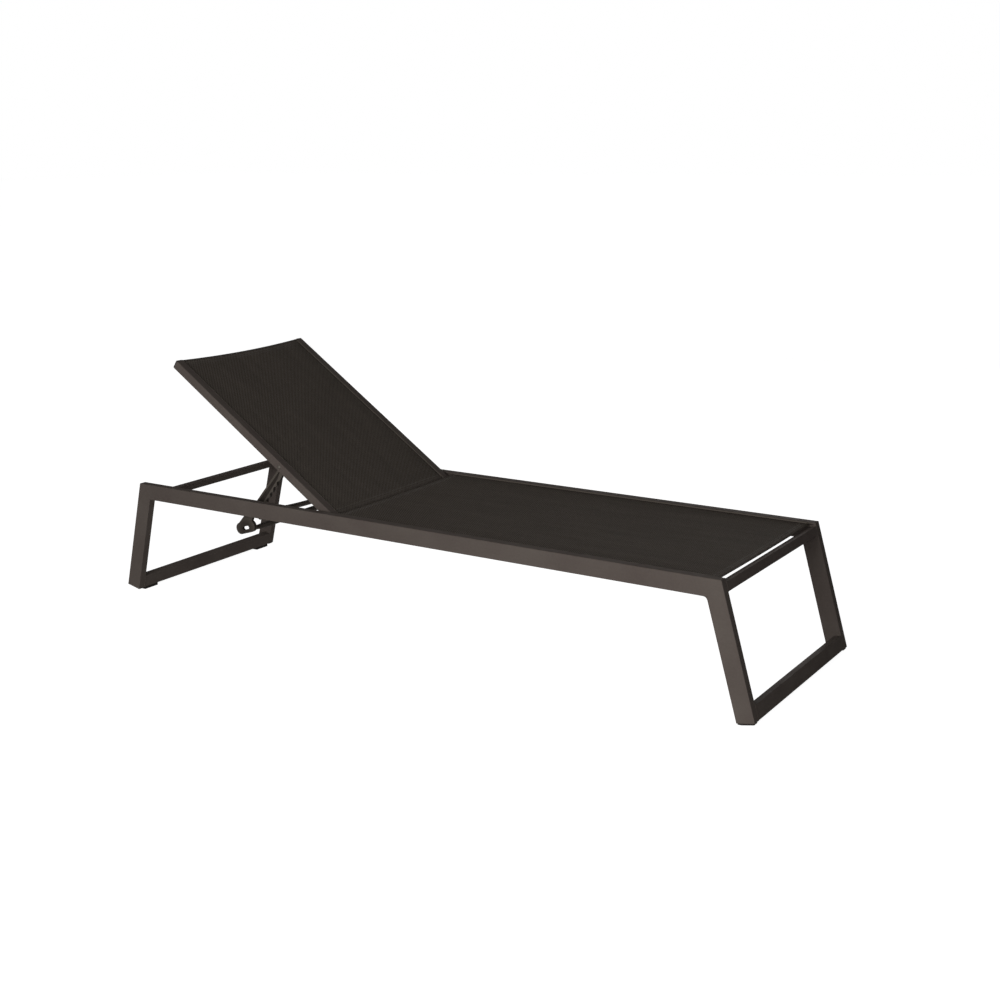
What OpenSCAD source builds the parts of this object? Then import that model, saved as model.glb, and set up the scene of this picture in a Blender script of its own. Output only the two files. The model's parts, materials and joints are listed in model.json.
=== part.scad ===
// Reclining sun lounger: welded aluminium side frames, two tensioned mesh slings and a
// backrest held up by a pair of notched support arms. The head end is at -X, the foot
// end at +X, the ground is Z = 0, and left and right are those of the person lying on it.

/* [Overall] */
// Length over the splayed legs
overall_length = 2040; // [1700:1:2500]
// Width over the side frames
overall_width = 600; // [480:1:900]
// Height of the top of the side rails
rail_top = 340; // [280:1:420]

/* [Side frames] */
// Width of every frame tube, across the lounger
tube_w = 22.4; // [20:0.1:34]
// Depth of the side rails
rail_h = 45; // [40:0.5:60]
// Depth of the legs, square to their slope
leg_depth = 47; // [36:0.5:60]
// Slope of the head legs, away from upright
head_splay = 14.6; // [5:0.1:22]
// Slope of the foot legs, away from upright
foot_splay = 15.7; // [5:0.1:22]
// Wall of the frame tubes
wall = 2; // [1.5:0.1:3]
// Radius of the welded fillets between the rails and the foot legs
fillet_r = 9; // [4:0.5:16]
// Radius of the tubes' long edges
edge_r = 1.2; // [0.5:0.1:2]
// Angle at which the legs' lower ends are cut, from level
leg_cut = 11; // [0:0.5:15]

/* [Cross bars] */
// Thickness of the welded cross bars
bar_d = 22; // [16:0.5:30]
// Height of the two bottom bars
bottom_bar_h = 37; // [20:0.5:50]
// Height of the top bar at the foot end
foot_bar_h = 23.5; // [16:0.5:30]
// Drop of the foot top bar below the rails, along the legs
foot_bar_drop = 9; // [4:0.5:20]
// Height of the head top bar, which the flat backrest lies on
head_bar_h = 19.5; // [14:0.5:30]
// Diameter of the round bars under the slings
round_bar = 16; // [12:0.5:20]
// Dip of the bowed bars at their middle
bar_sag = 14; // [6:0.5:18]

/* [Feet] */
// Height of the head legs' inner corners above the ground
head_lift = 8; // [5:0.5:14]
// Height of the foot legs' inner corners above the ground
foot_lift = 3; // [2:0.5:8]
// Length of the glides under the head bottom bar
glide_l = 50; // [30:1:80]
// Distance of those glides from the outer faces
glide_inset = 27; // [24:0.5:60]
// Thickness of the soles under the foot legs
sole_t = 5; // [4.5:0.5:10]
// Inset of a sole from the faces of its leg
sole_inset = 2.5; // [0:0.5:5]

/* [Slings] */
// Thickness of the woven mesh
mesh_t = 1.2; // [0.8:0.1:2]
// Diameter of the welt cord in the seat's edges
seat_welt = 5.8; // [5:0.1:6.5]
// Diameter of the welt cord in the backrest's edges
back_welt = 4.2; // [3.5:0.1:4.6]
// Gap between a welt cord and its channel
welt_gap = 0.3; // [0.2:0.05:0.5]
// Depth of the seat sling below the top of the rails
seat_drop = 5.5; // [5:0.1:8]
// Length of the seat, from the backrest's axis to the foot end of the rails
seat_length = 1165; // [900:1:1500]
// Gap between the seat sling and the foot end of the rails
foot_gap = 15; // [8:0.5:40]
// Distance from the backrest's axis to the start of the seat sling
seat_start = 24; // [22:0.5:40]

/* [Backrest] */
// Angle of the backrest above level, as drawn
back_angle = 34.4; // [34.4]
// Length of the backrest, from its axis to its top edge
back_length = 666; // [500:1:680]
// Width of the backrest's side tubes
back_tube_w = 22; // [20:0.5:28]
// Depth of the backrest's side tubes
back_tube_h = 25; // [25:0.5:30]
// Wall of the backrest's side tubes
back_wall = 1.8; // [1.4:0.1:2.5]
// Gap between the backrest and the rails
side_gap = 8; // [6:0.5:20]
// Depth of the backrest's axis below the top of the rails
axis_drop = 17; // [17:0.5:22]
// Length of the side tubes past the axis
tail = 16; // [12:0.5:17]
// Gap between the flat backrest and the bar it lies on
rest_gap = 1; // [0.5:0.1:3]

/* [Support arms] */
// Distance from the backrest's axis to the arms' pivots, along the tubes
arm_pivot = 213.6; // [180:0.1:260]
// Distance of the arms' pivots behind the middle of the tubes
arm_offset = 2; // [1:0.5:4]
// Length of an arm, from its pivot to the middle of its grip
arm_length = 256; // [220:1:300]
// Slope of an arm below level, as drawn
arm_angle = 51.8; // [51.8]
// Thickness of an arm
arm_t = 10; // [6:0.5:14]
// Number of notches
notches = 6; // [2:1:6]
// Distance between two notches
notch_pitch = 22.3; // [19:0.1:26]
// Depth of a notch
notch_depth = 4.5; // [3:0.1:5]
// Diameter of the catch bar that the notches hook over
catch_bar = 15; // [12:0.5:15]
// Distance from an arm's pivot to the catch bar
catch_reach = 170.6; // [150:0.1:190]
// Angle between an arm and the line from its pivot to the catch bar
catch_lead = 5.5; // [5.5:0.1:8]
// Dip of the catch bar at its middle
catch_sag = 22; // [10:0.5:30]
// Gap between the catch bar and a notch
notch_gap = 0.7; // [0.5:0.1:1]
// Reach of the hook past the catch bar
hook = 26; // [20:1:30]
// Width of the rim around an arm's thinner web
rim = 5; // [3:0.5:6]
// Depth of the hollow on each side of the web
web_hollow = 2; // [0.5:0.5:3]
// Length of the oval grip
grip_l = 72; // [60:1:86]
// Width of the grip
grip_w = 34; // [32:1:44]
// Length of the finger hole in the grip
hole_l = 27; // [16:1:30]
// Width of the finger hole
hole_w = 10; // [6:0.5:11]
// Slope of the grip across the arm
grip_slope = 35; // [25:1:40]
// Diameter of the rod that joins the two arms
rod_d = 12; // [10:0.5:12]

/* [Fasteners and fits] */
// Diameter of the backrest's hinge bolts
hinge_d = 8; // [6:0.5:8]
// Diameter of the arms' pivot bolts
arm_bolt_d = 7; // [5:0.5:7]
// Running clearance of a turning bore, on its radius
running = 0.05; // [0.02:0.01:0.1]
// Side clearance between turning faces
side_play = 0.2; // [0.1:0.05:0.3]
// Clearance of a plastic plug in its tube
plug_gap = 0.15; // [0.05:0.05:0.4]

/* [Hidden] */
$fn = 64;
frame_brown = [0.33, 0.30, 0.28];
mesh_brown = [0.20, 0.18, 0.17];
plastic_grey = [0.25, 0.25, 0.24];
steel = [0.78, 0.78, 0.76];
far = 3000;               // longer than any tube, for cutting to a mask
spigot = 16;              // length of a plug inside its tube
channel_lip = 1.2;        // wall in front of a welt channel
channel_bite = 0.4;       // how far the channel is cut into that wall
channel_wall = 1.1;       // wall round the channel
edge_play = 0.2;          // gap between a sling's edge and its welt cord
sling_recess = 3.5;       // depth of the back sling below the tubes' front faces
bar_play = 0.4;           // gap between the back sling and the bars under it
spreader_play = 6;        // gap between the seat sling and the spreaders
cap_t = 4;                // plate of a back cap
tail_plug_t = 2;          // plate of a tail plug
head_plug_t = 2;          // plate of a head leg's plug

// Half widths, from the middle plane outward
outer_y = overall_width / 2;
inner_y = outer_y - tube_w;
back_y = inner_y - side_gap;             // outer faces of the backrest
back_in_y = back_y - back_tube_w;        // inner faces of the backrest's tubes
washer_t = 0.8;
arm_y = back_in_y - washer_t - side_play; // outer faces of the arms
arm_in_y = arm_y - arm_t;
arm_mid_y = arm_y - arm_t / 2;

// Legs: horizontal depth, and the rise of their slanting lower cut
function cut_rise(depth, splay) = depth * tan(leg_cut) / (1 + tan(splay) * tan(leg_cut));
head_depth = leg_depth / cos(head_splay);
foot_depth = leg_depth / cos(foot_splay);
head_out_z = head_lift + cut_rise(head_depth, head_splay);
foot_out_z = foot_lift + cut_rise(foot_depth, foot_splay);
head_reach = (rail_top - head_out_z) * tan(head_splay);
foot_reach = (rail_top - foot_out_z) * tan(foot_splay);
head_top_x = -overall_length / 2 + head_reach;
foot_top_x = overall_length / 2 - foot_reach;
rail_bottom = rail_top - rail_h;
function head_face(z) = head_top_x - (rail_top - z) * tan(head_splay);
function foot_face(z) = foot_top_x + (rail_top - z) * tan(foot_splay);
function head_in(z) = head_face(z) + head_depth;
function foot_in(z) = foot_face(z) - foot_depth;
// The same heights measured along the sloping outer faces, down from the rails' top
foot_low = -(rail_top - foot_out_z) / cos(foot_splay);
head_low = -(rail_top - head_lift) / cos(head_splay) + leg_depth * tan(head_splay);

// Backrest axis, and the arms' pivots and catch bar in the plane of the arms
axis_x = foot_top_x - seat_length;
axis_z = rail_top - axis_drop;
sling_n = back_tube_h / 2 - sling_recess; // mesh above the middle of the back tubes
pivot_x = axis_x - arm_pivot * cos(back_angle) - arm_offset * sin(back_angle);
pivot_z = axis_z + arm_pivot * sin(back_angle) - arm_offset * cos(back_angle);
catch_slope = arm_angle + catch_lead;
catch_x = pivot_x - catch_reach * cos(catch_slope);
catch_z = pivot_z - catch_reach * sin(catch_slope);
// The bowed bar climbs a little across the arm's thickness, which a notch has to clear
bar_climb = bow_z(arm_y, inner_y, catch_sag) - bow_z(arm_in_y, inner_y, catch_sag);
notch_r = catch_bar / 2 + notch_gap + bar_climb / 2;
notch_a = catch_reach * cos(catch_lead); // last notch, along the arm
notch_p = catch_reach * sin(catch_lead); // and square to it, towards the foot end
edge_p = notch_p - notch_r + notch_depth; // toothed edge of the arm
head_bar_top = axis_z - back_tube_h / 2 - rest_gap;

// Rectangle with rounded corners, centred
module rounded_rect(w, h, r) {
    square([w - 2 * r, h], center = true);
    square([w, h - 2 * r], center = true);
    for (x = [-1, 1], y = [-1, 1])
        translate([x * (w / 2 - r), y * (h / 2 - r)]) circle(r, $fn = 24);
}

// Section of a plain tube, centred
module tube_section(w, h, t) {
    difference() {
        rounded_rect(w, h, edge_r);
        square([w - 2 * t, h - 2 * t], center = true);
    }
}

// Section of a tube with a welt channel in its +X side, c below its top
module channel_section(w, h, t, welt, c) {
    channel_r = welt / 2 + welt_gap;
    place = [w / 2 - welt_in(welt), h / 2 - c];
    difference() {
        rounded_rect(w, h, edge_r);
        difference() {
            square([w - 2 * t, h - 2 * t], center = true);
            translate(place) circle(channel_r + channel_wall);
            translate([place[0], place[1] - mesh_t]) square([w, 3 * mesh_t]);
        }
        translate(place) circle(channel_r);
        translate([place[0], place[1] - mesh_t]) square([w, 2 * mesh_t]);
    }
}

// Centre of a welt channel, inward from the inner face of its tube
function welt_in(welt) = channel_lip + welt / 2 + welt_gap - channel_bite;

// Solid between two widths on one side of the lounger, from an outline in X and Z
module side_plate(y0, y1) {
    translate([0, y1, 0]) rotate([90, 0, 0]) linear_extrude(y1 - y0) children();
}

// A shape drawn on the left, carried to the right by mirroring
module right_side() {
    mirror([0, 1, 0]) children();
}

// Frame of the sloping foot legs: origin at their top outer corner, +Z up the leg
module foot_frame() {
    translate([foot_top_x, 0, rail_top]) rotate([0, -foot_splay, 0]) children();
}

// Frame of the sloping head legs: the same at the head end
module head_frame() {
    translate([head_top_x, 0, rail_top]) rotate([0, head_splay, 0]) children();
}

// Frame of the backrest: origin on its axis, +X up along the tubes, +Z out of its front
module back_frame() {
    translate([axis_x, 0, axis_z]) rotate([0, back_angle, 0]) mirror([1, 0, 0]) children();
}

// Frame of an arm: origin at its pivot, +X down along the arm, +Y towards the foot end
module arm_frame(y0, y1) {
    translate([pivot_x, y1, pivot_z]) rotate([90, 0, 0]) rotate([0, 0, 180 + arm_angle])
        linear_extrude(y1 - y0) children();
}

// Round pin or hole across one side of the lounger, from y0 to y1
module cross_round(x, z, r, y0, y1) {
    translate([x, y1, z]) rotate([90, 0, 0]) cylinder(r = r, h = y1 - y0);
}

// ---- side frames -----------------------------------------------------------------
module side_rail() {
    color(frame_brown) difference() {
        intersection() {
            translate([-far / 2, (inner_y + outer_y) / 2, rail_top - rail_h / 2])
                rotate([90, 0, 90]) linear_extrude(far) mirror([1, 0])
                    channel_section(tube_w, rail_h, wall, seat_welt, seat_drop);
            side_plate(inner_y, outer_y)
                polygon([[head_top_x, rail_top], [foot_top_x, rail_top],
                         [foot_in(rail_bottom), rail_bottom],
                         [head_in(rail_bottom), rail_bottom]]);
        }
        cross_round(axis_x, axis_z, insert_r, inner_y - 1, inner_y + wall + 0.5);
    }
}

// Tube of a leg, long enough to cut to its outline
module leg_tube() {
    linear_extrude(far, center = true) tube_section(leg_depth, tube_w, wall);
}

module head_leg() {
    color(frame_brown) intersection() {
        head_frame() translate([leg_depth / 2, (inner_y + outer_y) / 2, 0]) leg_tube();
        side_plate(inner_y, outer_y)
            polygon([[head_top_x, rail_top], [head_in(rail_bottom), rail_bottom],
                     [head_in(head_lift), head_lift],
                     [head_face(head_out_z), head_out_z]]);
    }
}

module foot_leg() {
    color(frame_brown) intersection() {
        foot_frame() translate([-leg_depth / 2, (inner_y + outer_y) / 2, 0]) leg_tube();
        side_plate(inner_y, outer_y)
            polygon([[foot_top_x, rail_top], [foot_in(rail_bottom), rail_bottom],
                     [foot_in(foot_lift), foot_lift],
                     [foot_face(foot_out_z), foot_out_z]]);
    }
    color(frame_brown) side_plate(inner_y, outer_y) corner_fillet();
}

// Filled inner corner between a rail and a foot leg, with a round of fillet_r
module corner_fillet() {
    corner = [foot_in(rail_bottom), rail_bottom];
    run = fillet_r * (1 - sin(foot_splay)) / cos(foot_splay);
    centre = corner + [-run, -fillet_r];
    difference() {
        polygon([corner, corner + [-run, 0], centre,
                 corner + run * [sin(foot_splay), -cos(foot_splay)]]);
        translate(centre) circle(r = fillet_r);
    }
}

// ---- cross bars ------------------------------------------------------------------
// Rectangular tube from one side frame to the other, its section from x0, z0 upward
module straight_bar(x0, z0, h) {
    translate([x0 + bar_d / 2, inner_y, z0 + h / 2]) rotate([90, 0, 0])
        linear_extrude(2 * inner_y) tube_section(bar_d, h, wall);
}

// Round bar that dips at its middle, between two faces y0 off the middle plane
module bowed_bar(x, z_end, y0, d, sag) {
    bend_r = (y0 * y0 + sag * sag) / (2 * sag);
    sweep = asin(y0 / bend_r) + 1;
    intersection() {
        translate([x, 0, z_end + bend_r - sag]) rotate([0, 90, 0]) rotate([0, 0, -sweep])
            rotate_extrude(angle = 2 * sweep, $fn = 900) translate([bend_r, 0])
                difference() {
                    circle(d = d, $fn = 32);
                    circle(d = d - 2 * wall, $fn = 32);
                }
        translate([x - d, -y0, z_end - sag - d]) cube([2 * d, 2 * y0, sag + 2 * d]);
    }
}

// Height of a bowed bar above its own ends, at a distance y from the middle plane
function bow_z(y, y0, sag) =
    let (bend_r = (y0 * y0 + sag * sag) / (2 * sag))
    bend_r - sag - sqrt(bend_r * bend_r - y * y);

module head_bottom_bar() {
    color(frame_brown) head_frame()
        straight_bar(leg_depth - bar_d, head_low, bottom_bar_h);
}

module foot_bottom_bar() {
    color(frame_brown) foot_frame() straight_bar(-bar_d, foot_low, bottom_bar_h);
}

module head_top_bar() {
    color(frame_brown)
        straight_bar(head_in(head_bar_top) - bar_d, head_bar_top - head_bar_h, head_bar_h);
}

module foot_top_bar() {
    color(frame_brown) foot_frame()
        straight_bar(-bar_d, -foot_bar_drop - foot_bar_h, foot_bar_h);
}

module catch_bar_tube() {
    color(frame_brown)
        bowed_bar(catch_x, catch_z - bow_z(arm_mid_y, inner_y, catch_sag),
                  inner_y, catch_bar, catch_sag);
}

// Bowed bar under the seat sling, at a share of the seat's length from the axis
module seat_spreader(x) {
    color(frame_brown)
        bowed_bar(x, rail_top - seat_drop - round_bar / 2 - spreader_play, inner_y, round_bar, bar_sag);
}

// ---- seat sling ------------------------------------------------------------------
seat_x0 = axis_x + seat_start;
seat_x1 = foot_top_x - foot_gap;
module seat_sling() {
    half = inner_y + welt_in(seat_welt) - seat_welt / 2 - edge_play;
    color(mesh_brown)
        translate([seat_x0, -half, rail_top - seat_drop - mesh_t / 2])
            cube([seat_x1 - seat_x0, 2 * half, mesh_t]);
}

module seat_welt_cord() {
    color(mesh_brown)
        translate([seat_x0, inner_y + welt_in(seat_welt), rail_top - seat_drop])
            rotate([0, 90, 0]) cylinder(d = seat_welt, h = seat_x1 - seat_x0);
}

// ---- hinge of the backrest, left side --------------------------------------------
insert_r = hinge_d / 2 + 1.5;            // barrel of the threaded insert
flange_r = insert_r + 1.5;
flange_t = 1;
bush_r = hinge_d / 2 + 2;
bolt_head_r = hinge_d / 2 + 2.5;
bolt_head_t = 4.5;

module hinge_insert() {
    color(steel) difference() {
        union() {
            cross_round(axis_x, axis_z, flange_r, inner_y - flange_t, inner_y);
            cross_round(axis_x, axis_z, insert_r, inner_y - flange_t, inner_y + 12);
        }
        cross_round(axis_x, axis_z, hinge_d / 2, inner_y - 2, inner_y + 13);
    }
}

module hinge_bolt() {
    head_y = back_in_y - side_play;
    color(steel) difference() {
        union() {
            cross_round(axis_x, axis_z, hinge_d / 2, head_y - 1, inner_y + 11);
            cross_round(axis_x, axis_z, bolt_head_r, head_y - bolt_head_t, head_y);
        }
        translate([axis_x, head_y - bolt_head_t + 2.5, axis_z]) rotate([90, 0, 0])
            cylinder(r = hinge_d / 3, h = 5, $fn = 6);
    }
}

module hinge_spacer() {
    color(plastic_grey) difference() {
        cross_round(axis_x, axis_z, flange_r + 1, back_y + side_play, inner_y - flange_t);
        cross_round(axis_x, axis_z, hinge_d / 2 + running, back_y, inner_y);
    }
}

module hinge_bush() {
    color(plastic_grey) back_frame() difference() {
        cross_round(0, 0, bush_r, back_in_y, back_y);
        cross_round(0, 0, hinge_d / 2 + running, back_in_y - 1, back_y + 1);
    }
}

// ---- feet ------------------------------------------------------------------------
// Glide under the head bottom bar, its sole on the ground
module head_glide() {
    x1 = head_in(head_lift) - 1;
    x0 = head_in(head_lift) - bar_d * cos(head_splay) + 1;
    round_r = 3;
    color(plastic_grey)
        side_plate(outer_y - glide_inset - glide_l, outer_y - glide_inset)
            difference() {
                polygon([[x0, 0], [x1, 0],
                         [x1, head_lift + tan(head_splay)],
                         [x0, head_lift + (bar_d * cos(head_splay) - 1) * tan(head_splay)]]);
                for (side = [0, 1]) translate([side ? x1 : x0, 0]) mirror([side, 0]) difference() {
                    square(round_r, center = true);
                    translate([round_r / 2, round_r / 2]) circle(r = round_r / 2);
                }
            }
}

// Outline of a leg's lower end, grown outward by t below the cut
module cut_band(x_in, z_in, x_out, z_out, t) {
    polygon([[x_in, z_in], [x_out, z_out], [x_out, z_out - t], [x_in, z_in - t]]);
}

// Plug in the lower end of a leg: a spigot in the tube over a sole of thickness t
module leg_plug(x_in, z_in, x_out, z_out, t) {
    inset = x_in > 0 ? sole_inset : -sole_inset;
    side_plate(inner_y + sole_inset, outer_y - sole_inset) intersection() {
        cut_band(x_in + inset, z_in, x_out - inset, z_out, t);
        translate([-far / 2, 0]) square([far, far]);
    }
    intersection() {
        side_plate(inner_y + wall + plug_gap, outer_y - wall - plug_gap)
            cut_band(x_in, z_in + spigot, x_out, z_out + spigot, spigot);
        children();
    }
}

// Inside of a leg, less the play of a plug
module leg_hollow() {
    inset = wall + plug_gap;
    linear_extrude(far, center = true)
        square([leg_depth - 2 * inset, tube_w - 2 * inset], center = true);
}

// Glide in the end of a foot leg, its sole on the ground
module foot_glide() {
    color(plastic_grey)
        leg_plug(foot_in(foot_lift), foot_lift, foot_face(foot_out_z), foot_out_z, sole_t)
            foot_frame() translate([-leg_depth / 2, (inner_y + outer_y) / 2, 0]) leg_hollow();
}

// Plug in the end of a head leg, clear of the ground
module head_leg_plug() {
    color(plastic_grey)
        leg_plug(head_in(head_lift), head_lift, head_face(head_out_z), head_out_z, head_plug_t)
            head_frame() translate([leg_depth / 2, (inner_y + outer_y) / 2, 0]) leg_hollow();
}

// ---- backrest --------------------------------------------------------------------
module back_tube() {
    color(frame_brown) back_frame() difference() {
        translate([-tail, (back_y + back_in_y) / 2, 0]) rotate([90, 0, 90])
            linear_extrude(back_length + tail) mirror([1, 0])
                channel_section(back_tube_w, back_tube_h, back_wall, back_welt,
                                back_tube_h / 2 - sling_n);
        cross_round(0, 0, bush_r, back_in_y - 1, back_y + 1);
        cross_round(arm_pivot, -arm_offset, arm_bolt_d / 2, back_in_y - 1, back_y + 1);
    }
}

// Round bar between the backrest's side tubes
module back_bar(along) {
    color(frame_brown) back_frame() difference() {
        cross_round(along, back_bar_n, round_bar / 2, -back_in_y, back_in_y);
        cross_round(along, back_bar_n, round_bar / 2 - back_wall, -back_in_y - 1, back_in_y + 1);
    }
}
back_bar_n = sling_n - mesh_t / 2 - bar_play - round_bar / 2;
back_bar_low = bolt_head_r + round_bar / 2 + 12;
back_bar_high = back_length - round_bar / 2 - 6;
back_sling_low = -8;

module back_sling() {
    half = back_in_y + welt_in(back_welt) - back_welt / 2 - edge_play;
    color(mesh_brown) back_frame()
        translate([back_sling_low, -half, sling_n - mesh_t / 2])
            cube([back_length - back_sling_low, 2 * half, mesh_t]);
}

module back_welt_cord() {
    color(mesh_brown) back_frame()
        translate([back_sling_low, back_in_y + welt_in(back_welt), sling_n])
            rotate([0, 90, 0]) cylinder(d = back_welt, h = back_length - back_sling_low);
}

// Plastic end of a back tube: a plate over the end and a spigot below the channel
module tube_end(plate) {
    inset = back_wall + plug_gap;
    spigot_h = back_tube_h / 2 + sling_n - back_welt - back_wall - 2 * plug_gap;
    translate([0, back_in_y, -back_tube_h / 2]) cube([plate, back_tube_w, back_tube_h]);
    translate([-spigot, back_in_y + inset, -back_tube_h / 2 + inset])
        cube([spigot, back_tube_w - 2 * inset, spigot_h - inset]);
}

module back_cap() {
    color(plastic_grey) back_frame() translate([back_length, 0, 0]) tube_end(cap_t);
}

// The tail plug stops short of the hinge bush
module back_tail_plug() {
    color(plastic_grey) back_frame() translate([-tail, 0, 0]) mirror([1, 0, 0])
        difference() {
            tube_end(tail_plug_t);
            translate([-spigot - 1, back_in_y - 1, -back_tube_h])
                cube([spigot + 1 - (tail - bush_r - 1), back_tube_w + 2, 2 * back_tube_h]);
        }
}

// ---- support arms ----------------------------------------------------------------
// Pivot bolt of an arm: a shank through the tube and a low domed head outside it
module arm_bolt() {
    color(steel) back_frame() {
        cross_round(arm_pivot, -arm_offset, arm_bolt_d / 2, arm_in_y - 8, back_y);
        intersection() {
            translate([arm_pivot, back_y - 5, -arm_offset]) sphere(r = arm_bolt_d + 1);
            cross_round(arm_pivot, -arm_offset, arm_bolt_d, back_y, back_y + side_gap / 2);
        }
    }
}

module arm_washer() {
    color(steel) back_frame() difference() {
        cross_round(arm_pivot, -arm_offset, arm_bolt_d / 2 + 3, back_in_y - washer_t, back_in_y);
        cross_round(arm_pivot, -arm_offset, arm_bolt_d / 2, back_in_y - 2, back_in_y + 1);
    }
}

module arm_nut() {
    nut_y = arm_in_y - side_play;
    color(steel) back_frame() difference() {
        translate([arm_pivot, nut_y, -arm_offset]) rotate([90, 0, 0])
            cylinder(r = arm_bolt_d * 0.92, h = 5.5, $fn = 6);
        cross_round(arm_pivot, -arm_offset, arm_bolt_d / 2, nut_y - 7, nut_y + 1);
    }
}

// Outline of an arm in its own frame: pivot eye, notched blade, hook and oval grip
boss_r = 9;
head_p = -16;                            // smooth edge beside the last notch
grip_p = -26;                            // and where it meets the grip
grip_mid = -1;                           // middle of the finger hole
grip_at = [arm_length - 1, grip_mid - 1.5];
rod_back = grip_l / 2 - grip_w / 2;      // grip rod, in the grip's foot side
rod_in = grip_w / 2 - rod_d / 2 - 2.5;
rod_at = grip_at + [rod_in * sin(grip_slope) - rod_back * cos(grip_slope),
                    rod_in * cos(grip_slope) + rod_back * sin(grip_slope)];
first_notch = notch_a - (notches - 1) * notch_pitch;

module arm_outline() {
    tip = [notch_a + hook, notch_p + notch_r - 1];
    difference() {
        union() {
            circle(r = boss_r);
            polygon([[0, -boss_r], [notch_a - 15, head_p], [arm_length - 22, grip_p],
                     [arm_length + 6, grip_p - 2], [arm_length - 16, 9],
                     [arm_length - 44, 0], [tip[0] + 5, 4], tip, [tip[0] - 6, tip[1]],
                     [notch_a + 8, edge_p], [first_notch - 8, edge_p], [0, boss_r]]);
            translate(grip_at) rotate(-grip_slope) oval(grip_l, grip_w);
        }
        for (i = [0 : notches - 1])
            translate([notch_a - i * notch_pitch, notch_p]) circle(r = notch_r);
        translate([arm_length, grip_mid]) rotate(-grip_slope) oval(hole_l, hole_w);
        circle(r = arm_bolt_d / 2 + running);
    }
}

// Hollow of the web: the blade's outline, a rim's width in from its edges
module web_outline() {
    low_p = notch_p - notch_r - rim + 1;
    polygon([[boss_r + rim + 2, rim - boss_r], [notch_a - 15, head_p + rim],
             [arm_length - 26, grip_p + rim + 1], [arm_length - 36, rim - 16],
             [notch_a + 6, low_p], [first_notch - 8, low_p]]);
}

// Oval with round ends, by its overall length and width
module oval(l, w) {
    square([l - w, w], center = true);
    for (side = [-1, 1]) translate([side * (l - w) / 2, 0]) circle(d = w);
}

module support_arm() {
    socket = arm_t - 4;
    boss_t = 4;
    color(plastic_grey) difference() {
        union() {
            arm_frame(arm_in_y, arm_y) arm_outline();
            arm_frame(arm_in_y - boss_t, arm_in_y + 1)
                translate(rod_at) circle(r = rod_d / 2 + 2);
        }
        arm_frame(arm_y - web_hollow, arm_y + 1) web_outline();
        arm_frame(arm_in_y - 1, arm_in_y + web_hollow) web_outline();
        arm_frame(arm_in_y - boss_t - 1, arm_in_y + socket)
            translate(rod_at) circle(r = rod_d / 2);
    }
}

module grip_rod() {
    rod_end = arm_y - 4;
    color(frame_brown) arm_frame(-rod_end, rod_end) translate(rod_at)
        difference() {
            circle(r = rod_d / 2);
            circle(r = rod_d / 2 - 1.5);
        }
}

side_rail();  // side_rail_left
right_side() side_rail();  // side_rail_right
head_leg();  // head_leg_left
right_side() head_leg();  // head_leg_right
foot_leg();  // foot_leg_left
right_side() foot_leg();  // foot_leg_right
head_bottom_bar();
foot_bottom_bar();
head_top_bar();
foot_top_bar();
catch_bar_tube();
seat_spreader(seat_x0 + 18);  // seat_spreader_head
seat_spreader(seat_x0 + (seat_x1 - seat_x0) / 3);  // seat_spreader_middle
seat_spreader(seat_x0 + (seat_x1 - seat_x0) * 2 / 3);  // seat_spreader_foot
seat_sling();
seat_welt_cord();  // seat_welt_left
right_side() seat_welt_cord();  // seat_welt_right
hinge_insert();  // hinge_insert_left
right_side() hinge_insert();  // hinge_insert_right
hinge_bolt();  // hinge_bolt_left
right_side() hinge_bolt();  // hinge_bolt_right
hinge_spacer();  // hinge_spacer_left
right_side() hinge_spacer();  // hinge_spacer_right
head_glide();  // head_glide_left
right_side() head_glide();  // head_glide_right
foot_glide();  // foot_glide_left
right_side() foot_glide();  // foot_glide_right
head_leg_plug();  // head_leg_plug_left
right_side() head_leg_plug();  // head_leg_plug_right
back_tube();  // back_tube_left
right_side() back_tube();  // back_tube_right
back_bar(back_bar_high);  // back_top_bar
back_bar(back_bar_low);  // back_bottom_bar
back_sling();
back_welt_cord();  // back_welt_left
right_side() back_welt_cord();  // back_welt_right
back_cap();  // back_cap_left
right_side() back_cap();  // back_cap_right
back_tail_plug();  // back_tail_plug_left
right_side() back_tail_plug();  // back_tail_plug_right
hinge_bush();  // hinge_bush_left
right_side() hinge_bush();  // hinge_bush_right
arm_bolt();  // arm_bolt_left
right_side() arm_bolt();  // arm_bolt_right
arm_washer();  // arm_washer_left
right_side() arm_washer();  // arm_washer_right
arm_nut();  // arm_nut_left
right_side() arm_nut();  // arm_nut_right
support_arm();  // support_arm_left
right_side() support_arm();  // support_arm_right
grip_rod();
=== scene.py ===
# %% [markdown]
# # Finishing a reclining sun lounger
# The lounger is a welded aluminium frame with two tensioned mesh slings and a backrest that
# a pair of notched arms holds up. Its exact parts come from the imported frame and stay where
# they are. This script adds what gives the real one its look: woven slings with folded hems
# and stitching, weld beads, rounded plastic caps, and a procedural finish on every surface.

# %% Load the fixed frame
import json
import math

import bmesh
import bpy
import numpy as np
from mathutils import Matrix, Vector


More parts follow.
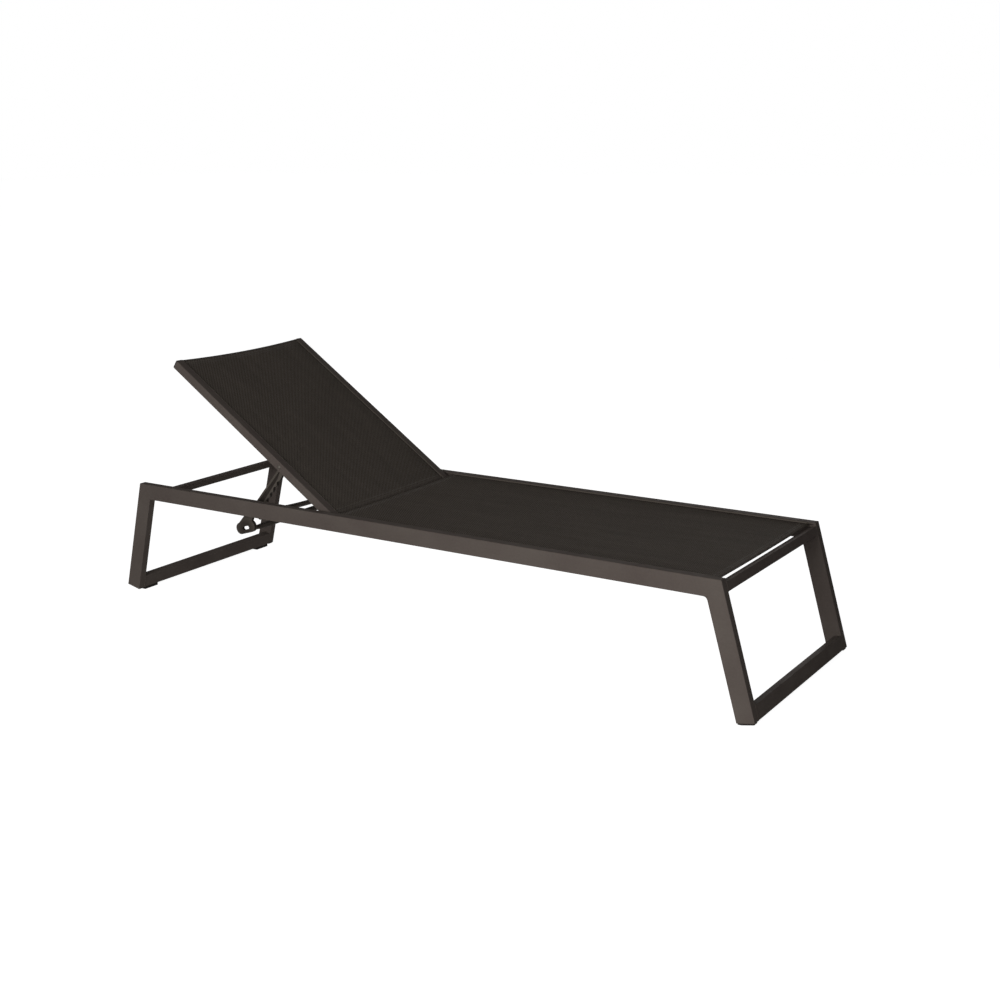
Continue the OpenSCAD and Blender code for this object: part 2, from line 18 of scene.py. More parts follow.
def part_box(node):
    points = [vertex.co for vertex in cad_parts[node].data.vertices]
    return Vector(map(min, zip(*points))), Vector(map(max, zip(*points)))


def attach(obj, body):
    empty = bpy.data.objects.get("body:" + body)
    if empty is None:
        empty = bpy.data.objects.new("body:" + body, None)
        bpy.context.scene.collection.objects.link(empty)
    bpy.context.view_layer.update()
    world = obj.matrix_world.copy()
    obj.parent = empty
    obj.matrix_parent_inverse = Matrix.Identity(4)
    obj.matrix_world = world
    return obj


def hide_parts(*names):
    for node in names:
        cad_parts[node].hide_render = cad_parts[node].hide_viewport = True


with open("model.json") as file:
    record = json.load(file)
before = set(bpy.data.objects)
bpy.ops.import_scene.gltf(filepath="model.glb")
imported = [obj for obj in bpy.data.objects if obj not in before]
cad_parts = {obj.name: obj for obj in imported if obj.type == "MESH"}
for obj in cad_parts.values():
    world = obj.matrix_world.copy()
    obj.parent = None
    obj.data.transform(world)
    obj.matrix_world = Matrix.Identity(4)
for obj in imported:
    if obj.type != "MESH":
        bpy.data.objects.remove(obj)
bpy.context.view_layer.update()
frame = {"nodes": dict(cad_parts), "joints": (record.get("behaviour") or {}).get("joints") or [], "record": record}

for body, parts in frame["record"]["behaviour"]["bodies"].items():
    print(body, "has", len(parts), "parts")

# %% [markdown]
# ## Where things are
# A new piece has to meet the exact parts to a fraction of a millimetre. Sizes could be typed
# in a second time here, but then the two would drift apart. So each one is read from the
# frame, and nothing has to be fitted by eye.

# %% Sizes read from the frame
MM = 0.001

rail_low, rail_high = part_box("side_rail_left")
inner_y, rail_top = float(rail_low[1]), float(rail_high[2])
seat_low, seat_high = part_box("seat_sling")
seat_length = float(seat_high[0] - seat_low[0])
seat_half = float(seat_high[1])
print("rails stand", round(inner_y, 4), "m off the middle, their tops", round(rail_top, 4), "m up")

# %% [markdown]
# The backrest is tilted, so x, y and z are awkward on it. It is easier to build in its own
# directions: up along its tubes, across, and out of its front. At the lower limit of its
# hinge it lies level, so the travel of the hinge is its angle.

# %% The backrest's own directions
joints = {joint["name"]: joint for joint in frame["joints"]}
hinge_point = np.array(joints["backrest_recline"]["pos_m"], float)
back_angle = math.radians(-joints["backrest_recline"]["range_deg"][0])
ACROSS = np.array([0.0, 1.0, 0.0])
UP_BACK = np.array([-math.cos(back_angle), 0.0, math.sin(back_angle)])
OUT_BACK = np.array([math.sin(back_angle), 0.0, math.cos(back_angle)])
back_origin = hinge_point * [1, 0, 1]


def node_points(name):
    """The corners of a frame part as an array, in metres."""
    mesh = frame["nodes"][name].data
    points = np.empty(3 * len(mesh.vertices), np.float32)
    mesh.vertices.foreach_get("co", points)
    return points.reshape(-1, 3).astype(float)


def back_range(name, direction):
    """How far a backrest part reaches along a direction, measured from the hinge."""
    reach = (node_points(name) - hinge_point) @ direction
    return float(reach.min()), float(reach.max())


print("backrest tilted by", round(math.degrees(back_angle), 1), "degrees")

# %% [markdown]
# ## Finishes
# A finish could be a picture wrapped round the part, but a picture blurs close up and shows
# its seams. Here each finish is a small network of nodes that is worked out from the place
# on the surface. Two helpers come first. Colours are written in hex, as a painter's chart
# gives them for the screen, while the renderer wants them linear. And one function adds any
# node, with its settings and its links.

# %% Colours and nodes


def srgb(code):
    """A hex colour such as "56504d" as linear red, green, blue and an alpha of 1.

    A channel v is v / 12.92 up to 0.04045, and ((v + 0.055) / 1.055) ^ 2.4 above it.
    """
    value = np.array([int(code[i:i + 2], 16) for i in (0, 2, 4)]) / 255
    linear = np.where(value <= 0.04045, value / 12.92, ((value + 0.055) / 1.055) ** 2.4)
    return (*linear.tolist(), 1.0)


def add_node(tree, kind, inputs=None, **settings):
    """A new node. inputs maps socket names or numbers to values or to other sockets."""
    node = tree.nodes.new(kind)
    for name, value in settings.items():
        setattr(node, name, value)
    for name, value in (inputs or {}).items():
        if isinstance(value, bpy.types.NodeSocket):
            tree.links.new(value, node.inputs[name])
        else:
            node.inputs[name].default_value = value
    return node


print("56504d is", [round(channel, 4) for channel in srgb("56504d")], "in linear light")

# %% [markdown]
# Every finish is one Principled shader. What is the same all over is set on the shader
# itself. What varies is driven by cloudy patterns, whose patches have a real size.

# %% A shader and a cloudy pattern


def new_finish(name, shader_inputs):
    """A material with one Principled shader. Returns the material, its tree and the shader."""
    material = bpy.data.materials.new(name)
    material.use_nodes = True
    tree = material.node_tree
    tree.nodes.clear()
    shader = add_node(tree, "ShaderNodeBsdfPrincipled", shader_inputs)
    add_node(tree, "ShaderNodeOutputMaterial", {"Surface": shader.outputs[0]})
    return material, tree, shader


def patches(tree, place, size, low, high, detail=2.0):
    """Cloudy patches about size metres across, whose values run from low to high.

    Noise of scale 0.5 / size has patches of that size. Its middle, 0.3 to 0.7, is spread out.
    """
    cloud = add_node(tree, "ShaderNodeTexNoise",
                     {"Vector": place, "Scale": 0.5 / size, "Detail": detail}).outputs[0]
    return add_node(tree, "ShaderNodeMapRange",
                    {"Value": cloud, "From Min": 0.3, "From Max": 0.7,
                     "To Min": low, "To Max": high}).outputs[0]


def connect(tree, shader, **sockets):
    """Links outputs to the shader's inputs, named with _ for a space."""
    for name, value in sockets.items():
        tree.links.new(value, shader.inputs[name.replace("_", " ")])


def tell(*made):
    """Prints how many points and faces a piece has, or how many nodes a finish has."""
    for thing in made:
        if isinstance(thing, bpy.types.Material):
            print(thing.name, len(thing.node_tree.nodes), "nodes")
        else:
            print(thing.name, len(thing.data.vertices), "points",
                  len(thing.data.polygons), "faces")


print("finishes can be made")

# %% [markdown]
# ### Powder coating on aluminium
# The tubes are aluminium, but no metal shows. A polyester powder is sprayed on dry and
# baked, so the coat flows out into a faint orange peel. The eye sees a matt brown that
# breaks highlights softly, a little paler where dust settles low on the legs. Rounding the
# tubes' edges in the mesh would move exact parts, so a Bevel node rounds only the shading.

# %% Powder coating
PEEL = 1.5 * MM
DUST_TOP = 90 * MM


def powder_coating():
    """Brown patches 60 mm wide, flecks of 3 mm, dust that fades out upwards, and a peel."""
    material, tree, shader = new_finish(
        "powder_coated_aluminium", {"IOR": 1.5, "Specular IOR Level": 0.025})
    place = add_node(tree, "ShaderNodeTexCoord").outputs["Object"]
    colour = add_node(tree, "ShaderNodeMix",
                      {0: patches(tree, place, 60 * MM, 0.0, 1.0, 4.0),
                       6: srgb("504844"), 7: srgb("57504b")}, data_type="RGBA").outputs[2]
    colour = add_node(tree, "ShaderNodeMix",
                      {0: patches(tree, place, 3 * MM, 0.0, 0.14, 3.0),
                       6: colour, 7: srgb("665e59")}, data_type="RGBA").outputs[2]
    height = add_node(tree, "ShaderNodeSeparateXYZ", {"Vector": place}).outputs["Z"]
    low = add_node(tree, "ShaderNodeMapRange",
                   {"Value": height, "From Min": 0.0, "From Max": DUST_TOP,
                    "To Min": 0.1, "To Max": 0.0}).outputs[0]
    dust = add_node(tree, "ShaderNodeMath",
                    {0: low, 1: patches(tree, place, 60 * MM, 0.3, 1.0, 4.0)},
                    operation="MULTIPLY").outputs[0]
    colour = add_node(tree, "ShaderNodeMix", {0: dust, 6: colour, 7: srgb("7a736b")},
                      data_type="RGBA").outputs[2]
    soft_edge = add_node(tree, "ShaderNodeBevel", {"Radius": 0.8 * MM}, samples=4).outputs[0]
    grain = add_node(tree, "ShaderNodeTexNoise",
                     {"Vector": place, "Scale": 0.5 / PEEL, "Detail": 1.0}).outputs[0]
    peel = add_node(tree, "ShaderNodeBump",
                    {"Height": grain, "Distance": 0.05 * MM, "Strength": 1.0,
                     "Normal": soft_edge}).outputs[0]
    connect(tree, shader, Base_Color=colour, Normal=peel,
            Roughness=patches(tree, place, 25 * MM, 0.72, 0.86, 3.0))
    return material


frame_finish = powder_coating()
tell(frame_finish)

# %% [markdown]
# ### Woven mesh
# The slings are polyester yarn coated in PVC and woven open, then heat-set, so that the
# crossings weld together. Thousands of real yarns would be too heavy, so the weave is drawn:
# two sets of waves are the yarns, and a checkerboard says which one lies on top. The real
# yarns lie about 1.3 mm apart, too fine to show from a few metres, so they are drawn 3.3 mm
# apart. The pattern follows the cloth's own map, which holds metres across and along, so it
# runs true on the tilted backrest as well. The eye sees a dark, dull cloth with a fine grain
# and faint streaks along the warp.

# %% Woven mesh
YARN = 3.3 * MM


def woven_mesh(name, yarn_colour, gap_shade_colour, yarn=YARN):
    """Plain weave. A wave of scale s repeats every 2 pi / 20 / s, so one yarn sets the scale.

    Relief is the height of the yarn on top times that of the higher yarn.
    """
    material, tree, shader = new_finish(
        name, {"Roughness": 0.9, "IOR": 1.52, "Specular IOR Level": 0.015})
    cloth = add_node(tree, "ShaderNodeUVMap", uv_map="cloth").outputs[0]
    wave_scale = 2 * math.pi / 20 / yarn
    threads = [add_node(tree, "ShaderNodeTexWave", {"Vector": cloth, "Scale": wave_scale},
                        wave_type="BANDS", bands_direction=axis).outputs[1] for axis in "XY"]
    over = add_node(tree, "ShaderNodeTexChecker",
                    {"Vector": cloth, "Scale": 1 / yarn}).outputs["Fac"]
    top = add_node(tree, "ShaderNodeMix", {0: over, 2: threads[0], 3: threads[1]}).outputs[0]
    higher = add_node(tree, "ShaderNodeMath", {0: threads[0], 1: threads[1]},
                      operation="MAXIMUM").outputs[0]
    relief = add_node(tree, "ShaderNodeMath", {0: top, 1: higher},
                      operation="MULTIPLY").outputs[0]
    yarn_here = add_node(tree, "ShaderNodeMapRange",
                         {"Value": higher, "From Min": 0.05, "From Max": 0.55}).outputs[0]
    # Painted highlight: where the warp lies on top the yarn is painted paler, for the sheen on the crossings.
    colour = add_node(tree, "ShaderNodeMix", {0: over, 6: yarn_colour, 7: srgb("736b63")},
                      data_type="RGBA").outputs[2]
    # Painted shade: between the yarns the colour goes to the dark gap colour, for the shade in the gaps.
    colour = add_node(tree, "ShaderNodeMix", {0: yarn_here, 6: gap_shade_colour, 7: colour},
                      data_type="RGBA").outputs[2]
    drawn_out = add_node(tree, "ShaderNodeMapping",
                         {"Vector": cloth, "Scale": (1.0, 0.12, 1.0)}).outputs[0]
    streaks = patches(tree, drawn_out, 14 * MM, 0.02, 0.17, 3.0)
    # The random streaks darken towards the same dark colour.
    colour = add_node(tree, "ShaderNodeMix", {0: streaks, 6: colour, 7: gap_shade_colour},
                      data_type="RGBA").outputs[2]
    faded = patches(tree, cloth, 120 * MM, 0.0, 0.12)
    colour = add_node(tree, "ShaderNodeMix", {0: faded, 6: colour, 7: srgb("4d4640")},
                      data_type="RGBA").outputs[2]
    rise = add_node(tree, "ShaderNodeBump",
                    {"Height": relief, "Distance": 0.5 * MM, "Strength": 1.0}).outputs[0]
    connect(tree, shader, Base_Color=colour, Normal=rise)
    return material


# The last colour of each is the painted shade in the gaps between the yarns.
sling_finish = woven_mesh("woven_pvc_coated_polyester", srgb("49433d"), srgb("1f1c1a"))
sleeve_finish = woven_mesh("stretched_welt_sleeve", srgb("6c645d"), srgb("4a443f"), 2 * MM)
tell(sling_finish, sleeve_finish)

# %% [markdown]
# ### Moulded nylon
# The arms, caps, plugs and glides are moulded nylon. The mould was spark-eroded, which
# leaves the skin dull and slightly grainy. Their edges get a painted highlight, a paler
# colour where light would catch them. A colour painted by hand would miss the edges of the
# notches, so the nodes look for edges: there, a rounded normal leans away from the flat one.

# %% Edges and nylon


def edge_highlight(tree, radius, amount):
    """Painted highlight: amount on edges, 0 on flats, from how far the rounded normal leans."""
    rounded = add_node(tree, "ShaderNodeBevel", {"Radius": radius}, samples=6).outputs[0]
    flat = add_node(tree, "ShaderNodeNewGeometry").outputs["Normal"]
    lean = add_node(tree, "ShaderNodeVectorMath", {0: rounded, 1: flat},
                    operation="DOT_PRODUCT").outputs["Value"]
    return add_node(tree, "ShaderNodeMapRange",
                    {"Value": lean, "From Min": 0.995, "From Max": 0.9,
                     "To Min": 0.0, "To Max": amount}).outputs[0]


def moulded_nylon(name, dark, light, highlight_colour, roughness, rim=None):
    """Patches of two browns, and a painted highlight on edges and where rim is 1."""
    material, tree, shader = new_finish(name, {"IOR": 1.53, "Specular IOR Level": 0.05})
    place = add_node(tree, "ShaderNodeTexCoord").outputs["Object"]
    colour = add_node(tree, "ShaderNodeMix",
                      {0: patches(tree, place, 18 * MM, 0.0, 1.0, 3.0), 6: dark, 7: light},
                      data_type="RGBA").outputs[2]
    # Painted highlight: edges are mixed towards the paler highlight colour.
    colour = add_node(tree, "ShaderNodeMix",
                      {0: edge_highlight(tree, 1.5 * MM, 0.8), 6: colour, 7: highlight_colour},
                      data_type="RGBA").outputs[2]
    # Painted highlight where the rim mask is 1, such as on the arms' rims.
    if rim:
        colour = add_node(tree, "ShaderNodeMix",
                          {0: rim(tree, place), 6: colour, 7: highlight_colour},
                          data_type="RGBA").outputs[2]
    soft_edge = add_node(tree, "ShaderNodeBevel", {"Radius": 1.3 * MM}, samples=6).outputs[0]
    grain = add_node(tree, "ShaderNodeTexNoise",
                     {"Vector": place, "Scale": 0.5 / (0.7 * MM), "Detail": 1.0}).outputs[0]
    skin = add_node(tree, "ShaderNodeBump",
                    {"Height": grain, "Distance": 0.04 * MM, "Strength": 1.0,
                     "Normal": soft_edge}).outputs[0]
    rough = patches(tree, place, 6 * MM, roughness - 0.05, roughness + 0.07)
    connect(tree, shader, Base_Color=colour, Roughness=rough, Normal=skin)
    return material


# The third colour is the painted highlight on the edges.
foot_finish = moulded_nylon("moulded_nylon_black", srgb("272321"), srgb("2f2b28"),
                            srgb("3f3b37"), 0.75)
tell(foot_finish)

# %% [markdown]
# Each arm has a thin web between two raised rims, like a small girder. The rims get a
# painted highlight, a paler colour, while the web keeps the dark base colour. The painted
# highlight fades out round the grip hole. Both arms lie the same distance from the middle of
# the lounger, so the depth inside an arm is found from the size of y alone.

# %% The arms' rims
arm_face = float(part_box("support_arm_left")[1][1])
ARM_HALF = 5 * MM
WEB_ENDS, RIM_STARTS = 3.3 * MM, 4.9 * MM
# Distances from the grip hole over which the painted rim highlight fades in.
HIGHLIGHT_FADE_START, HIGHLIGHT_FADE_END = 16 * MM, 46 * MM
grip_hole = np.mean(frame["record"]["physics"]["openings"][0]["box_m"], axis=0)


def arm_rim_highlight(tree, place):
    """Painted highlight, 0 on the web and 0.9 on rims, times 0.06 by the grip hole, 1 away from it.

    The depth is | |y| - y of the arm's middle |, and the distance to the hole leaves y out.
    """
    y = add_node(tree, "ShaderNodeSeparateXYZ", {"Vector": place}).outputs["Y"]
    outward = add_node(tree, "ShaderNodeMath", {0: y}, operation="ABSOLUTE").outputs[0]
    inside = add_node(tree, "ShaderNodeMath", {0: outward, 1: arm_face - ARM_HALF},
                      operation="SUBTRACT").outputs[0]
    depth = add_node(tree, "ShaderNodeMath", {0: inside}, operation="ABSOLUTE").outputs[0]
    # Painted highlight: 0.9 on the raised rims, 0 on the web.
    raised = add_node(tree, "ShaderNodeMapRange",
                      {"Value": depth, "From Min": WEB_ENDS, "From Max": RIM_STARTS,
                       "To Max": 0.9}).outputs[0]
    flattened = add_node(tree, "ShaderNodeVectorMath", {0: place, 1: (1, 0, 1)},
                         operation="MULTIPLY").outputs[0]
    away = add_node(tree, "ShaderNodeVectorMath",
                    {0: flattened, 1: (float(grip_hole[0]), 0.0, float(grip_hole[2]))},
                    operation="DISTANCE").outputs["Value"]
    # The painted highlight fades out near the grip hole.
    grip_fade = add_node(tree, "ShaderNodeMapRange",
                     {"Value": away, "From Min": HIGHLIGHT_FADE_START, "From Max": HIGHLIGHT_FADE_END,
                      "To Min": 0.06, "To Max": 1.0}).outputs[0]
    return add_node(tree, "ShaderNodeMath", {0: raised, 1: grip_fade},
                    operation="MULTIPLY").outputs[0]


# The third colour is the painted highlight on edges and rims.
arm_finish = moulded_nylon("moulded_nylon_brown", srgb("2a2522"), srgb("332e2a"),
                           srgb("534d47"), 0.7, arm_rim_highlight)
tell(arm_finish)

# %% [markdown]
# ### Lacquered steel
# The bolts, washers and nuts are turned stainless steel under a brown lacquer. They could be
# plain metal, but bare steel would flash white in this light. The lacquer has rubbed through
# in spots of about 4 mm, so the same pattern sets both the colour and how metallic a spot
# is. Turning leaves fine rings, drawn as noise that is stretched across the bolt.

# %% Lacquered steel


def lacquered_steel():
    """Brown lacquer with bare spots where the noise is above 0.56, and rings 1.2 mm wide."""
    material, tree, shader = new_finish(
        "lacquered_stainless_steel", {"IOR": 1.5, "Specular IOR Level": 0.1})
    place = add_node(tree, "ShaderNodeTexCoord").outputs["Object"]
    drawn_out = add_node(tree, "ShaderNodeMapping",
                         {"Vector": place, "Scale": (1.0, 0.15, 1.0)}).outputs[0]
    rings = add_node(tree, "ShaderNodeTexNoise",
                     {"Vector": drawn_out, "Scale": 0.5 / (1.2 * MM), "Detail": 3.0}).outputs[0]
    spots = add_node(tree, "ShaderNodeTexNoise",
                     {"Vector": place, "Scale": 0.5 / (4 * MM), "Detail": 3.0}).outputs[0]
    bare = add_node(tree, "ShaderNodeMapRange",
                    {"Value": spots, "From Min": 0.56, "From Max": 0.7,
                     "To Max": 0.6}).outputs[0]
    colour = add_node(tree, "ShaderNodeMix", {0: bare, 6: srgb("4a4540"), 7: srgb("7d776f")},
                      data_type="RGBA").outputs[2]
    rough = patches(tree, drawn_out, 1.2 * MM, 0.5, 0.65, 3.0)
    grooves = add_node(tree, "ShaderNodeBump",
                       {"Height": rings, "Distance": 0.02 * MM, "Strength": 1.0}).outputs[0]
    connect(tree, shader, Base_Color=colour, Metallic=bare, Roughness=rough, Normal=grooves)
    return material


steel_finish = lacquered_steel()
tell(steel_finish)

# %% [markdown]
# ### Sewing thread
# The hems are sewn with a bonded polyester thread, a shade lighter than the mesh. Its twisted
# strands could be modelled, but they are finer than a stitch. So they show only as a change
# of shade every 0.5 mm or so, and a soft sheen.

# %% Sewing thread


def sewing_thread():
    """Two shades of brown that change every 0.5 mm or so."""
    material, tree, shader = new_finish(
        "polyester_thread", {"Roughness": 0.7, "Sheen Weight": 0.2})
    place = add_node(tree, "ShaderNodeTexCoord").outputs["Object"]
    twist = add_node(tree, "ShaderNodeTexNoise",
                     {"Vector": place, "Scale": 0.5 / (0.5 * MM), "Detail": 2.0}).outputs[0]
    colour = add_node(tree, "ShaderNodeMix", {0: twist, 6: srgb("4a443f"), 7: srgb("675f58")},
                      data_type="RGBA").outputs[2]
    connect(tree, shader, Base_Color=colour)
    return material


thread_finish = sewing_thread()
tell(thread_finish)

# %% [markdown]
# ## Finishes on the frame's own parts
# Exact parts that already have the right shape only get their finish. The record groups
# them by material slot. The arms share a slot with the feet, so they are told apart by name.

# %% Paint the frame's parts
slot_finish = {"frame_coating": frame_finish, "sling_mesh": sling_finish,
               "grey_plastic": foot_finish, "stainless_steel": steel_finish}
for part in frame["record"]["subparts"]:
    node = part["node"]
    finish = arm_finish if node.startswith("support_arm") else slot_finish[part["material_slot"]]
    materials = frame["nodes"][node].data.materials
    materials.clear()
    materials.append(finish)

# %% [markdown]
# ## New pieces
# A piece could be modelled by hand, but then no one could see how its shape came about. Each
# one here is a surface worked out with whole arrays: a grid of points over two parameters,
# and the quads between neighbours. A direction that closes on itself wraps round to its
# start. A finished piece has its place in its points and says which body it moves with.

# %% A grid becomes a piece


def grid_quads(rows, columns, wrap_rows=False, wrap_columns=False):
    """Quads of a rows x columns grid, numbered row by row."""
    i = np.arange(rows if wrap_rows else rows - 1)[:, None]
    j = np.arange(columns if wrap_columns else columns - 1)[None, :]
    next_i, next_j = (i + 1) % rows, (j + 1) % columns
    corners = (i * columns + j, next_i * columns + j,
               next_i * columns + next_j, i * columns + next_j)
    return np.stack(np.broadcast_arrays(*corners), -1).reshape(-1, 4)


def make_piece(name, points, faces, finish, body, cloth_map=None):
    """A smooth mesh object at the origin, riding on a body. faces may mix three and four."""
    mesh = bpy.data.meshes.new(name)
    mesh.from_pydata(points.tolist(), [], [tuple(face) for face in faces])
    if cloth_map is not None:
        corner = np.empty(len(mesh.loops), np.int32)
        mesh.loops.foreach_get("vertex_index", corner)
        mesh.uv_layers.new(name="cloth").uv.foreach_set("vector", cloth_map[corner].ravel())
    mesh.polygons.foreach_set("use_smooth", np.full(len(mesh.polygons), True))
    mesh.materials.append(finish)
    mesh.update()
    piece = bpy.data.objects.new(name, mesh)
    bpy.context.scene.collection.objects.link(piece)
    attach(piece, body)
    return piece


print("a grid of 3 x 4 points has", len(grid_quads(3, 4)), "quads")

# %% [markdown]
# ## The slings
# Each sling is one panel held by a welt cord in a channel along each tube, so it is tight
# across and nearly flat along. It could be simulated, but a taut panel only sags as a
# shallow parabola between the tubes, and a formula says that exactly. The ends are folded
# under into hems.

# %% Where the seat hangs
FOOT_TRIM = 3 * MM
SEAT_SAG = 4 * MM


def seat_surface(along, across):
    """The seat's top: level at the rails, a parabola across, deeper towards its middle.

    along and across run from 0 to 1, and y is -1 to 1 from rail to rail. The sag is
    SEAT_SAG * (1 - y^2) * (0.5 + 0.5 sin(pi along)).
    """
    y = 2 * across - 1
    sag = SEAT_SAG * (1 - y ** 2) * (0.5 + 0.5 * np.sin(np.pi * along))
    x = seat_low[0] + (seat_high[0] - FOOT_TRIM - seat_low[0]) * along
    return np.stack([x, seat_high[1] * y, seat_high[2] - sag], -1)


middle_of_seat = seat_surface(np.array(0.5), np.array(0.5))
print("the seat's middle hangs at", np.round(middle_of_seat, 4))

# %% Where the backrest's sling hangs
HEM_DIP = 9 * MM
BACK_SAG = 5 * MM
back_start, back_end = back_range("back_sling", UP_BACK)
back_out = back_range("back_sling", OUT_BACK)[1]
back_end = max(back_end, back_range("back_cap_left", UP_BACK)[1])
back_length = back_end - back_start
back_half = float(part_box("back_sling")[1][1])
low_bar = sum(back_range("back_bottom_bar", UP_BACK)) / 2
high_bar = sum(back_range("back_top_bar", UP_BACK)) / 2


def back_surface(along, across):
    """The backrest's front, a parabola across that is deepest between its two bars.

    The sag is BACK_SAG * (1 - y^2) * sin(pi s), where s runs from bar to bar and is 0
    outside. The top edge dips by HEM_DIP in the middle, because the pull goes to the tubes.
    """
    y = 2 * across - 1
    up = back_start + (back_end - HEM_DIP * (1 - y ** 2) - back_start) * along
    s = np.clip((up - low_bar) / (high_bar - low_bar), 0, 1)
    out = back_out - BACK_SAG * (1 - y ** 2) * np.sin(np.pi * s)
    return (back_origin + up[..., None] * UP_BACK + out[..., None] * OUT_BACK
            + (back_half * y)[..., None] * ACROSS)


print("the backrest's sling is", round(2 * back_half, 3), "x", round(back_length, 3), "m")

# %% [markdown]
# ### Two closed sheets
# A surface alone has no thickness, and its edge would vanish from the side. A Solidify
# modifier could add one, but the closed sheet is easy to write: the grid, its copy one
# thickness behind, and the rim between them. The cloth map is written in metres, so that the
# weave keeps its size on both slings.

# %% A closed sheet
SHEET = 0.8 * MM
SLING_COLUMNS = 72


def shell(top, thickness):
    """A closed sheet: the grid top, its copy one thickness behind, and the rim between.

    The copy is moved against the surface normal, the cross product of the grid's two
    directions. Returns points and quads, which face outwards where thickness is positive.
    """
    along, across = np.gradient(top, axis=0), np.gradient(top, axis=1)
    normal = np.cross(along, across)
    normal /= np.linalg.norm(normal, axis=-1, keepdims=True)
    rows, columns = top.shape[:2]
    points = np.concatenate([top.reshape(-1, 3), (top - thickness * normal).reshape(-1, 3)])
    front = grid_quads(rows, columns)
    index = np.arange(rows * columns).reshape(rows, columns)
    edge = np.concatenate([index[0, :], index[1:, -1], index[-1, -2::-1], index[-2:0:-1, 0]])
    after = np.roll(edge, -1)
    shift = rows * columns
    rim = np.stack([edge, after, after + shift, edge + shift], -1)
    return points, np.concatenate([front, front[:, ::-1] + shift, rim])


def sling(name, surface, rows, length, half, body, front):
    """A sheet over the whole of a surface, mapped in metres for its weave.

    front is 1 where the cross product of along and across points to the lying side, and -1
    where it points behind, which turns both the thickness and the faces round.
    """
    along, across = np.meshgrid(np.linspace(0, 1, rows), np.linspace(0, 1, SLING_COLUMNS),
                                indexing="ij")
    points, faces = shell(surface(along, across), front * SHEET)
    metres = np.stack([2 * half * across, length * along], -1).reshape(-1, 2)
    return make_piece(name, points, faces[:, ::front], sling_finish, body,
                      np.concatenate([metres, metres]))


seat_mesh = sling("seat_mesh", seat_surface, 180, seat_length, seat_half, "frame", 1)
back_mesh = sling("back_mesh", back_surface, 120, back_length, back_half, "backrest", -1)
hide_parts("seat_sling")
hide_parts("back_sling")
tell(seat_mesh, back_mesh)
print("seat", round(seat_length, 3), "x", round(2 * seat_half, 3), "m, back",
      round(back_length, 3), "x", round(2 * back_half, 3), "m")

# %% [markdown]
# ### Hems
# A cut end of mesh frays, so it is folded under and sewn down. The fold shows as a round lip
# with a second layer behind it. Folding the sheet itself would crowd its grid at the edge,
# so the hem is a strip of its own: one section, carried across from tube to tube.

# %% Close a mesh and turn its faces out


def close_and_orient(piece):
    """Merges doubles, fills the open ends and turns every face outwards."""
    work = bmesh.new()
    work.from_mesh(piece.data)
    bmesh.ops.remove_doubles(work, verts=work.verts, dist=1e-7)
    bmesh.ops.holes_fill(work, edges=[edge for edge in work.edges if edge.is_boundary])
    bmesh.ops.recalc_face_normals(work, faces=work.faces)
    work.to_mesh(piece.data)
    work.free()
    return piece


print("open meshes can be closed")

# %% Hem strips
HEM = 22 * MM
HEM_INSET = 0.004
HEM_COLUMNS, FOLD_STEPS, LAYER_STEPS = 90, 9, 6
SMALL_STEP = 0.001


def hem(name, surface, half, at_start, body):
    """The folded layer behind a sling's end.

    Its section is a half circle round the sheet's edge, then a second layer that runs back
    one hem's width behind the sheet: how far ahead of the edge and how far behind the
    surface each point lies. outward and normal carry the section along the edge.
    """
    across = np.linspace(HEM_INSET, 1 - HEM_INSET, HEM_COLUMNS)
    turn = np.linspace(0, np.pi, FOLD_STEPS)
    layer = SHEET * 1.02
    ahead = np.concatenate([np.sin(turn) * layer, np.linspace(0, -HEM, LAYER_STEPS)[1:]])
    behind = np.concatenate([(np.cos(turn) - 1) * layer, np.full(LAYER_STEPS - 1, -2 * layer)])
    outer = np.stack([ahead, behind], -1)
    inner = np.stack([np.linspace(-HEM, 0, LAYER_STEPS),
                      np.full(LAYER_STEPS, -2 * layer + SHEET * 0.9)], -1)
    section = np.concatenate([outer, inner])
    end = 0.0 if at_start else 1.0
    edge = surface(np.full_like(across, end), across)
    inside = surface(np.full_like(across, abs(end - SMALL_STEP)), across)
    outward = (edge - inside) / np.linalg.norm(edge - inside, axis=1, keepdims=True)
    normal = np.cross(outward, ACROSS)
    normal *= np.sign(normal[:, 2:3])
    points = (edge[:, None] + section[None, :, :1] * outward[:, None]
              + section[None, :, 1:] * normal[:, None])
    metres = np.stack(np.broadcast_arrays(2 * half * across[:, None], section[None, :, 0]), -1)
    return close_and_orient(make_piece(
        name, points.reshape(-1, 3), grid_quads(*points.shape[:2], False, True), sling_finish,
        body, metres.reshape(-1, 2)))


seat_hems = [hem("seat_hem_head", seat_surface, seat_half, True, "frame"),
             hem("seat_hem_foot", seat_surface, seat_half, False, "frame")]
back_hems = [hem("back_hem_low", back_surface, back_half, True, "backrest"),
             hem("back_hem_top", back_surface, back_half, False, "backrest")]
tell(*seat_hems, *back_hems)

# %% [markdown]
# ### Stitches
# Each hem is held by two rows of lockstitch. They could be dashes in the colour, but close
# up they would look printed. So each stitch is a small capsule that lies half sunk in the
# mesh. There are hundreds of them, so each has only a few dozen faces, and all the stitches
# of a sling are one piece.

# %% One stitch
STITCH_PITCH, STITCH_LENGTH, THREAD = 4.2 * MM, 3.1 * MM, 0.42 * MM


